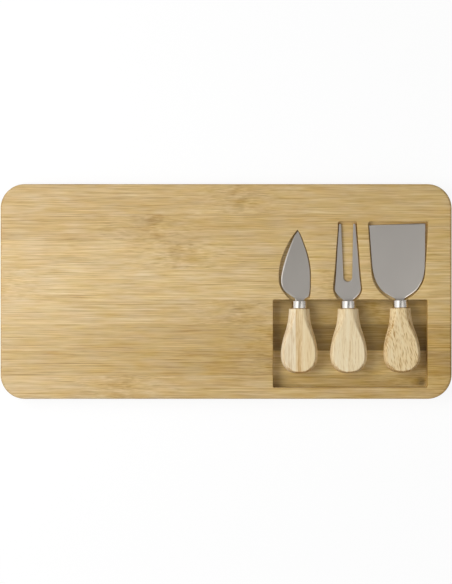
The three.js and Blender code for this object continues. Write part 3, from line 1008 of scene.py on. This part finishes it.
# %% [markdown]
# ## Handle wood
# The handles are turned from rubberwood, a pale plantation hardwood, and given a thin clear
# lacquer. Its open pores show as short dashes along the grain. How strongly they show depends on
# how the blank was cut, so each handle has its own strength: faint on the knife and the fork,
# strong on the spade.

# %% Heartwood and pores
HEART_REACH = (2, 9)
PORE_CELL = (6, 0.9)
PORE_EDGE = (0.1, 0.62)
PORE_LIFT = 0.32


def heartwood(tree, fibres, tone, strength):
    """Darkens the side of a stave that was sawn near the heart."""
    near = add(
        tree,
        "ShaderNodeMapRange",
        {
            "Value": add(tree, "ShaderNodeSeparateXYZ", {"Vector": fibres}).node.outputs["Y"],
            "From Min": HEART_REACH[0],
            "From Max": HEART_REACH[1],
            "To Min": -strength,
            "To Max": 0,
        },
        interpolation_type="SMOOTHSTEP",
    )
    return add(tree, "ShaderNodeMath", {0: tone, 1: near}, operation="ADD")


def open_pores(tree, fibres, tone, strength):
    """Darkens a tone in short dashes along the fibres, and lightens it between them."""
    # Pores are 0.2 mm wide and 3 mm long. They are drawn about 0.5 mm wide, one in each cell of
    # 6 by 0.9 mm, so that they show.
    pore = add(
        tree,
        "ShaderNodeMapRange",
        {
            "Value": drawn_out(tree, fibres, *PORE_CELL, kind="ShaderNodeTexVoronoi"),
            "From Min": PORE_EDGE[0],
            "From Max": PORE_EDGE[1],
            "To Min": -strength,
            "To Max": PORE_LIFT * strength,
        },
        interpolation_type="SMOOTHSTEP",
    )
    return add(tree, "ShaderNodeMath", {0: tone, 1: pore}, operation="ADD")


# %% The rubberwood finishes
SWAY_CELL = 20
SWAY_REACH = 3.0
WOOD_LAYERS = [(70, 3.2, 2, 0.8), (60, 0.9, 1, 0.9), (22, 0.45, 2, 0.8)]
WOOD_ENDS = 0.45
WOOD_ROUGH = (0.2, 0.8, 0.56, 0.42)
WOOD_BUMP = (0.25, 0.1)


def rubberwood(name, tones, turn, pores, heart):
    """Turned rubberwood under a thin lacquer: a soft sheen with fine pores along the grain."""
    made, tree, shader = new_finish(name, Specular_IOR_Level=0.3)
    place = grain_place(tree, 90 - turn)
    sway = {"Vector": place, "Scale": 1 / SWAY_CELL, "Detail": 1.0}
    sway = add(tree, "ShaderNodeTexNoise", sway).node.outputs["Color"]
    sway = add(tree, "ShaderNodeVectorMath", {0: sway, "Scale": SWAY_REACH}, operation="SCALE")
    fibres = add(tree, "ShaderNodeVectorMath", {0: place, 1: sway}, operation="ADD")
    tone = grain(tree, fibres, 0.5, WOOD_LAYERS)
    tone = heartwood(tree, fibres, tone, heart)
    tone = open_pores(tree, fibres, tone, pores)
    tone = darker_ends(tree, tone, WOOD_ENDS)
    dress(tree, shader, dark_to_light(tree, tone, tones), tone, WOOD_ROUGH, *WOOD_BUMP)
    return made


# Each row has the name, the tones, how far the grain is turned, the pores and the heartwood.
handle_finishes = {
    node: rubberwood("lacquered_rubberwood_" + name, *settings)
    for node, name, *settings in (
        ("knife_handle_left_stave", "pale_stave", ("d2b07c", "f4e2c0", "faeed0"), 0, 0.06, 0),
        ("knife_handle_right_stave", "tan_stave", ("c69a5e", "f0d8aa", "f6e4be"), 0, 0.08, 0.17),
        ("fork_handle", "fork", ("c8a26a", "f5e1b8", "faeccc"), 0.6, 0.1, 0),
        ("spade_handle", "spade", ("b08446", "f0d6a4", "f8e6be"), 13, 0.33, 0),
    )
}
print("handle finishes:", list(handle_finishes))

# %% [markdown]
# ## Steel
# The blades are stamped from stainless sheet and polished to a satin mirror. The ferrules are
# drawn cups, polished brighter. Both are plain metal, so the colour lies mostly in the
# reflection. The finish adds the faint lines that polishing leaves and a faint cloud, and each
# blade's own tone is a painted reflection.

# %% The steel finishes
CLOUD = [(40, 22, 1, 0.8)]
BLADE_LINES = [(30, 0.6, 1, 0.3)]
FERRULE_LINES = [(0.25, 30, 1, 0.6)]
LINES_ROUGH = (0.8, 1.2)
BLADE_BUMP = (0.1, 0.01)
FERRULE_BUMP = (0.1, 0.003)


def stainless(name, face, cloudy, roughness, layers, bump):
    """Stainless steel: a cool grey that comes from what it mirrors, with fine polishing lines."""
    made, tree, shader = new_finish(name, Metallic=1.0)
    place = grain_place(tree, 90)
    lines = grain(tree, place, 0.5, layers)
    cloud = grain(tree, place, 0.5, CLOUD)
    shown = {"Factor": cloud, "A": colour(face), "B": colour(cloudy)}
    shown = add(tree, "ShaderNodeMix", shown, data_type="RGBA")
    rough_range = (0, 1, *(roughness * each for each in LINES_ROUGH))
    dress(tree, shader, shown, lines, rough_range, *bump)
    return made


# Each blade has its own tone: a painted reflection of the part of the room that blade mirrors.
blade_finishes = {
    tool: stainless(f"satin_polished_stainless_{tool}", *tones, 0.3, BLADE_LINES, BLADE_BUMP)
    for tool, tones in {
        "knife": ("d4cec6", "c8c2ba"),
        "fork": ("d7d1c9", "cbc5be"),
        "spade": ("d9d3cb", "cdc7c0"),
    }.items()
}
ferrule_finish = stainless(
    "polished_stainless_ferrule", "f0eae2", "e6e0d8", 0.2, FERRULE_LINES, FERRULE_BUMP
)
print("steel finishes:", len(blade_finishes) + 1)

# %% [markdown]
# ## Turn the handles and ferrules
# A profile is a line of points of (radius, distance along the axis). The handle's profile runs
# from the butt over the belly to the shoulder, then down to the tenon that the ferrule sits on.

# %% Profiles
LATHE_SIDES = 128
# The middle of a small round lies about 0.3 of its radius in from the corner it replaces.
ROUND_MIDDLE = 0.3
LIP_STEPS = 8
CUP_EASE = 0.15


def handle_profile():
    """From the butt over the belly and the eased shoulder to the end of the tenon."""
    width, length = HANDLE["width"] / 2, HANDLE["length"]
    curve = smooth_edge(HANDLE_SHARES, -length, width)
    shoulder = width * HANDLE_SHARES[0][1]
    ease = HANDLE["shoulder_ease"]
    body = [(point.x, point.y) for point in reversed(curve[1:-1]) if point.y < -ease]
    return [
        (0, -length),
        *body,
        (shoulder, -ease),
        (shoulder - ease * ROUND_MIDDLE, -ease * ROUND_MIDDLE),
        (shoulder - ease, 0),
        (TENON_RADIUS, 0),
        (TENON_RADIUS, TENON_LENGTH),
        (0, TENON_LENGTH),
    ]


def ferrule_profile():
    """A cup over the tenon, from the inside of its end round to the outside."""
    outer = FERRULE["diameter"] / 2
    inner = outer - FERRULE["wall"]
    length, lip = FERRULE["length"], FERRULE["lip"]
    rounding = [(point.x, point.y) for point in arc(outer - lip, length - lip, lip, 90, LIP_STEPS)]
    return [
        (0, length - FERRULE["wall"]),
        (inner, length - FERRULE["wall"]),
        (inner, FIT),
        (outer - CUP_EASE, FIT),
        (outer, FIT + CUP_EASE),
        *rounding,
        (0, length),
    ]


print("points of the profiles:", len(handle_profile()), len(ferrule_profile()))


# %% Turn a profile and lay the piece on the board
def lay_tool(made, tool):
    """Moves a piece's mesh from the tool's own axis to its place on the board."""
    place = Vector((*TOOLS[tool]["place"], AXIS_HEIGHT)) * MM
    turn = Matrix.Rotation(math.radians(TOOLS[tool]["turn"]), 4, "Z")
    made.data.transform(Matrix.Translation(place) @ turn)


def turned(name, profile, tool, values):
    """A piece turned from a profile, with flats and a slot, in its place on the board."""
    mesh = bpy.data.meshes.new(name)
    points = [(radius * MM, along * MM, 0) for radius, along in profile]
    mesh.from_pydata(points, [(at, at + 1) for at in range(len(points) - 1)], [])
    made = new_object(name, mesh)
    shared = {"Sides": LATHE_SIDES, "Flat ease": HANDLE["flat_ease"] * MM}
    run_tree(made, turning_tree, {**shared, **values})
    lay_tool(made, tool)
    return made


# %% Ferrules, each with a slot for the blade's neck
FERRULES_APART = 40

neck = Vector((BLADE["neck"] / 2 + FIT, 0, BLADE["thickness"] / 2 + FIT))
neck_low = Vector((-neck.x, TENON_LENGTH, -neck.z))
neck_high = Vector((neck.x, FERRULE["length"] + OVERRUN, neck.z))


def make_ferrule(tool, at):
    """A tool's ferrule. It has no flats, so the half thickness lies well outside it."""
    values = {
        "Half thickness": FERRULE["diameter"] * MM,
        "Slot low": neck_low * MM,
        "Slot high": neck_high * MM,
        "Grain start": (0, 0, at * FERRULES_APART),
        "Finish": ferrule_finish,
    }
    cup = turned(tool + "_ferrule_steel", ferrule_profile(), tool, values)
    finish_piece(cup, tool, tool + "_ferrule")


print("neck slot, mm:", [round(side, 2) for side in neck_high - neck_low])

# %% Handles, each with a bore for the tang
HANDLES_APART = (50, 30, 20)

bore = Vector((TANG["width"] / 2 + FIT, TANG["length"] + FIT, BLADE["thickness"] / 2 + FIT))
bore_end = Vector((bore.x, TENON_LENGTH + OVERRUN, bore.z))


def make_handle(tool, at):
    """A tool's whole handle."""
    values = {
        "Half thickness": HANDLE["thickness"] / 2 * MM,
        "Slot low": -bore * MM,
        "Slot high": bore_end * MM,
        "Grain start": tuple(at * each for each in HANDLES_APART),
        "Finish": handle_finishes.get(tool + "_handle"),
    }
    return turned(tool + "_handle_wood", handle_profile(), tool, values)


print("bore, mm:", [round(side, 2) for side in bore_end + bore])

# %% The knife's handle is two staves that meet at a glue line
GLUE_ASIDE = 3.3
GLUE_LINE = TOOLS["knife"]["place"][0] - GLUE_ASIDE
STAVE_STARTS = {"left": (10, 40, 5), "right": (GLUE_LINE, 15, 60)}


def part_staves(handle):
    """Saws the knife's handle into its two staves, each with its own wood."""
    past = Vector((OVERRUN, OVERRUN, OVERRUN)) * MM
    for stave, start in STAVE_STARTS.items():
        node = f"knife_handle_{stave}_stave"
        part = copy_of(handle, node + "_wood")
        low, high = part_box(node)
        low, high = low - past, high + past
        if stave == "left":
            high.x = GLUE_LINE * MM
        else:
            low.x = GLUE_LINE * MM
        values = {
            "Low corner": low,
            "High corner": high,
            "Grain start": start,
            "Fibres": (0, 1, 0),
            "Finish": handle_finishes[node],
        }
        run_tree(part, strip_tree, values)
        finish_piece(part, "knife", node)
    bpy.data.objects.remove(handle)


print("glue line, mm:", round(GLUE_LINE, 1))

# %% Make them for each tool
for at, tool in enumerate(TOOLS):
    make_ferrule(tool, at)
    handle = make_handle(tool, at)
    if tool == "knife":
        part_staves(handle)
    else:
        finish_piece(handle, tool, tool + "_handle")
turned_pieces = [each.name for each in bpy.data.objects if each.name.endswith(("_wood", "ferrule_steel"))]
print("turned pieces:", turned_pieces)

# %% [markdown]
# ## Blades
# A blade is stamped from sheet with its neck and tang, then its edges are ground. The outline is
# raised through the steps of a quarter round, first below and then above. How far in the steps
# reach differs from side to side: hardly at all where an edge is only broken, and widely along a
# cutting edge. One more ring of points just inside keeps the flat faces flat.


# %% Outlines of the blades
SLOT_STEPS = 24


def tang_side():
    """The right side of the tang and the neck, from the tang's end up."""
    return [
        Vector((TANG["width"] / 2, -TANG["length"])),
        Vector((TANG["width"] / 2, TENON_LENGTH)),
        Vector((BLADE["neck"] / 2, TENON_LENGTH + FIT)),
        Vector((BLADE["neck"] / 2, FERRULE["length"])),
    ]


def blade_outline(right, end, left):
    """The outline from the tang up the right edge, over the end and down the left edge."""
    up = Vector((0, FERRULE["length"]))
    foot = tang_side()
    return [*foot, *[point + up for point in [*right, *end, *left]], *mirrored(foot)]


def knife_outline():
    """Two edges that differ and meet in a point."""
    size = (TOOLS["knife"]["length"], TOOLS["knife"]["width"])
    right = smooth_edge(KNIFE_RIGHT, *size)
    left = list(reversed(smooth_edge(KNIFE_LEFT, *size)))
    tip = Vector((KNIFE_TIP[1] * size[1], KNIFE_TIP[0] * size[0]))
    return blade_outline(right, [tip], left)


def fork_outline():
    """Two tines with a slot between them that ends in a half round."""
    length, width = TOOLS["fork"]["length"], TOOLS["fork"]["width"]
    right = smooth_edge(FORK_SIDE, length, width)
    mouth, foot = FORK_SLOT["mouth"] / 2, FORK_SLOT["foot"] / 2
    tip_round = FORK_SLOT["tip_round_share"] * FORK_SLOT["tip"]
    tine_end = [
        Vector((right[-1].x - tip_round, length)),
        Vector((mouth + tip_round, length)),
        Vector((mouth, length - tip_round)),
    ]
    slot_foot = arc(0, length - FORK_SLOT["length"] + foot, foot, -180, SLOT_STEPS)
    return blade_outline(right, [*tine_end, *slot_foot, *mirrored(tine_end)], mirrored(right))


def spade_outline():
    """A broad blade with a straight edge across its end."""
    length, width = TOOLS["spade"]["length"], TOOLS["spade"]["width"]
    right = smooth_edge(SPADE_SIDE, length, width)
    corner = [Vector((width / 2, length))]
    return blade_outline(right, [*corner, *mirrored(corner)], mirrored(right))


outlines = {"knife": knife_outline(), "fork": fork_outline(), "spade": spade_outline()}
print("points of the outlines:", {tool: len(outline) for tool, outline in outlines.items()})

# %% How wide each side is ground
GROUND = {"knife": (0.25, 1.7), "fork": (0.15, 0.5), "spade": (0.2, 0.9)}
SHOULDER_SLOPE = 0.45
SHOULDER_GROUND = 0.8
NEARLY = 0.01


def ground_width(tool, start, end):
    """How far in from a side of the outline its edge is ground: widest on the cutting edge."""
    # An outline runs up the right side of a blade, over its end and down the left side.
    broken, cutting = GROUND[tool]
    side = end - start
    up_the_blade = start.y > FERRULE["length"] - NEARLY
    if tool == "knife" and up_the_blade and side.y < 0:
        up = (start.y - FERRULE["length"]) / TOOLS[tool]["length"]
        return broken + (cutting - broken) * min(1, 2 * (1 - up))
    if tool == "fork" and up_the_blade and side.y > 0:
        return cutting
    if tool == "spade" and start.y > TOOLS[tool]["length"] and side.x < -abs(side.y):
        return cutting
    if tool != "knife" and up_the_blade and abs(side.x) > SHOULDER_SLOPE * abs(side.y):
        return SHOULDER_GROUND
    return broken


ground = {
    tool: [ground_width(tool, *ends) for ends in zip(outline, outline[1:] + outline[:1])]
    for tool, outline in outlines.items()
}
print("widest ground edges, mm:", {tool: round(max(widths), 2) for tool, widths in ground.items()})

# %% Stamp and grind the blades
BLADE_ROUND = 0.45
BLADE_ROUND_STEPS = 4
FLAT_FROM = 1.1

# A level is (share of the ground width, height). raised() multiplies the shares by the widths.
# The last level lies just inside the ground edge, where the flat face starts.
half = BLADE["thickness"] / 2 * MM
upper = [
    (inwards / BLADE_ROUND * MM, half - below * MM)
    for inwards, below in quarter_round(BLADE_ROUND, BLADE_ROUND_STEPS)
]
upper.append((FLAT_FROM * MM, half))
lower = [(inwards, -height) for inwards, height in reversed(upper)]
for tool, outline in outlines.items():
    metric = [point * MM for point in outline]
    blade = raised(tool + "_blade_steel", metric, [*lower, *upper], ground[tool])
    lay_tool(blade, tool)
    blade.data.materials.append(blade_finishes[tool])
    finish_piece(blade, tool, tool + "_blade")
print("blades:", list(outlines))

# %% [markdown]
# ## Camera
# The photo looks straight down from far away: no side of the board shows, and the tops of the
# handles stand over their outlines. A long lens just over two metres up gives the same flat view.
# The picture is 452 wide and 584 high, and the board fills its width.

# %% Place the camera
PICTURE_HEIGHT = 584
MM_PER_PIXEL = 0.8417
CAMERA_DISTANCE = 2.2
CAMERA_ASIDE = (-0.1, -0.45)

lens = bpy.data.cameras.new("camera")
camera = new_object("camera", lens)
lens.lens = lens.sensor_width * CAMERA_DISTANCE / (PICTURE_HEIGHT * MM_PER_PIXEL * MM)
lens.clip_end = 50
aside = [shift * MM for shift in CAMERA_ASIDE]
camera.location = (*aside, board_high.z + CAMERA_DISTANCE)
bpy.context.scene.camera = camera
print("lens, mm:", round(lens.lens, 1))

# %% [markdown]
# ## Floor
# The object lies on a white floor that the camera sees as nearly plain white, with only the
# faintest shadow. A share of white is laid over the lit paper for every ray that sees it, and not
# for the light it throws back on the object. Seen from below the floor is clear.

# %% Floor
FLOOR_SIZE = 30
FLOOR_GAP = 0.2
FLOOR_GLOW = 1.04
WHITE_SHARE = 0.86

bpy.ops.mesh.primitive_plane_add(size=FLOOR_SIZE, location=(0, 0, -FLOOR_GAP * MM))
floor = bpy.context.object
floor.name = "floor"
floor_finish, tree, shader = new_finish("white_paper_floor", Base_Color=colour("e8e8e8"), Roughness=0.9)
ray = add(tree, "ShaderNodeLightPath").node.outputs
seen = ray["Is Camera Ray"]
for other in ("Is Glossy Ray", "Is Transmission Ray"):
    seen = add(tree, "ShaderNodeMath", {0: seen, 1: ray[other]}, operation="MAXIMUM")
glow = add(tree, "ShaderNodeEmission", {"Color": (1, 1, 1, 1), "Strength": FLOOR_GLOW})
share = add(tree, "ShaderNodeMath", {0: seen, 1: WHITE_SHARE}, operation="MULTIPLY")
paper = add(tree, "ShaderNodeMixShader", {0: share, 1: shader.outputs[0], 2: glow})
underside = add(tree, "ShaderNodeNewGeometry").node.outputs["Backfacing"]
clear = add(tree, "ShaderNodeBsdfTransparent")
surface = add(tree, "ShaderNodeMixShader", {0: underside, 1: paper, 2: clear})
tree.links.new(surface, tree.nodes["Material Output"].inputs["Surface"])
floor.data.materials.append(floor_finish)
print("floor, m:", FLOOR_SIZE)

# %% [markdown]
# ## What the steel mirrors
# A studio hangs white and black cards round shiny steel, so that a blade shows grey with bright
# and dark edges. Here the cards are drawn into the world, and only a mirrored ray meets them.
# Each table runs along a slant through the room, from -1.4 to 1.4, and gives a brightness at
# places along it. A slant is (share of right, share of back). The three tables are multiplied.

# %% Cards along three slants
SLANT_REACH = 1.4
SLANTS = (
    (
        (1.0, -0.9),
        {
            -1.1: 0.18, -0.85: 0.22, -0.7: 0.37, -0.38: 0.4, -0.2: 0.06, 0.0: 0.08, 0.16: 0.09,
            0.26: 0.15, 0.38: 0.4, 0.8: 0.7, 0.95: 0.6, 1.05: 0.2, 1.4: 0.12,
        },
    ),
    ((1.0, 1.0), {-1.4: 1.0, 0.1: 1.0, 0.4: 0.15, 1.25: 0.15, 1.36: 0.8}),
    ((0.0, 1.0), {-0.85: 0.1, -0.72: 0.4, 0.7: 0.4, 0.86: 1.0}),
)


def brightness_along(tree, towards, right, back, table):
    """The brightness in a direction, from a table along one slant."""
    side = add(tree, "ShaderNodeMath", {0: towards["Y"], 1: back, 2: 0.0}, operation="MULTIPLY_ADD")
    slant = add(tree, "ShaderNodeMath", {0: towards["X"], 1: right, 2: side}, operation="MULTIPLY_ADD")
    place = {0: slant, 1: 0.5 / SLANT_REACH, 2: 0.5}
    place = add(tree, "ShaderNodeMath", place, operation="MULTIPLY_ADD")
    ramp = add(tree, "ShaderNodeValToRGB", {"Fac": place})
    shades = {0.5 + 0.5 * at / SLANT_REACH: (level, level, level, 1) for at, level in table.items()}
    set_stops(ramp.node, shades)
    return ramp


print("places in the tables:", [len(table) for slant, table in SLANTS])

# %% [markdown]
# ## World
# The world adds an even grey light from all round. The camera sees it white, and a mirrored ray
# sees the cards.

# %% World
AMBIENT = 0.22
MIRRORED_STRENGTH = 10.0

world = bpy.data.worlds.new("studio")
world.use_nodes = True
bpy.context.scene.world = world
tree = world.node_tree
studio = tree.nodes["Background"]
studio.inputs["Color"].default_value = (AMBIENT, AMBIENT, AMBIENT, 1)
direction = add(tree, "ShaderNodeTexCoord").node.outputs["Generated"]
towards = add(tree, "ShaderNodeSeparateXYZ", {"Vector": direction}).node.outputs
levels = [brightness_along(tree, towards, *slant, table) for slant, table in SLANTS]
strength = add(tree, "ShaderNodeMath", {0: levels[1], 1: levels[2]}, operation="MULTIPLY")
strength = add(
    tree, "ShaderNodeMath", {0: strength, 1: MIRRORED_STRENGTH}, operation="MULTIPLY"
)
backdrop = add(tree, "ShaderNodeBackground", {"Color": levels[0], "Strength": strength})
white = add(tree, "ShaderNodeBackground", {"Color": (1, 1, 1, 1)})
ray = add(tree, "ShaderNodeLightPath").node.outputs
mirrored_ray = {0: ray["Is Glossy Ray"], 1: ray["Is Transmission Ray"]}
mirrored_ray = add(tree, "ShaderNodeMath", mirrored_ray, operation="MAXIMUM")
sky = add(tree, "ShaderNodeMixShader", {0: mirrored_ray, 1: studio.outputs[0], 2: backdrop})
sky = add(tree, "ShaderNodeMixShader", {0: ray["Is Camera Ray"], 1: sky, 2: white})
tree.links.new(sky, tree.nodes["World Output"].inputs["Surface"])
print("world nodes:", len(tree.nodes))

# %% [markdown]
# ## Lamps
# A broad soft lamp stands to the left, as the shadows in the pocket tell. A weaker one to the
# right fills them. Only the right one shows in the steel.

# %% Lamps
# Each row has the name, the place, the width, the height, the power and whether steel mirrors it.
LAMPS = (
    ("left_softbox", (-0.68, 0.12, 0.74), 0.8, 0.8, 9.2, False),
    ("right_softbox", (0.72, -0.5, 0.85), 1.3, 1.3, 3.2, True),
)

for name, place, wide, high, power, shows_in_steel in LAMPS:
    lamp_data = bpy.data.lights.new(name, "AREA")
    lamp_data.shape = "RECTANGLE"
    lamp_data.size = wide
    lamp_data.size_y = high
    lamp_data.energy = power
    lamp = new_object(name, lamp_data)
    lamp.location = place
    lamp.visible_glossy = shows_in_steel
    lamp.rotation_mode = "QUATERNION"
    lamp.rotation_quaternion = (-Vector(place)).to_track_quat("-Z", "Y")
print("lamps:", [name for name, *_ in LAMPS])

# %% [markdown]
# ## Last steps
# The view transform is plain, so a colour renders as it is written.

# %% Finish
bpy.context.scene.view_settings.view_transform = "Standard"
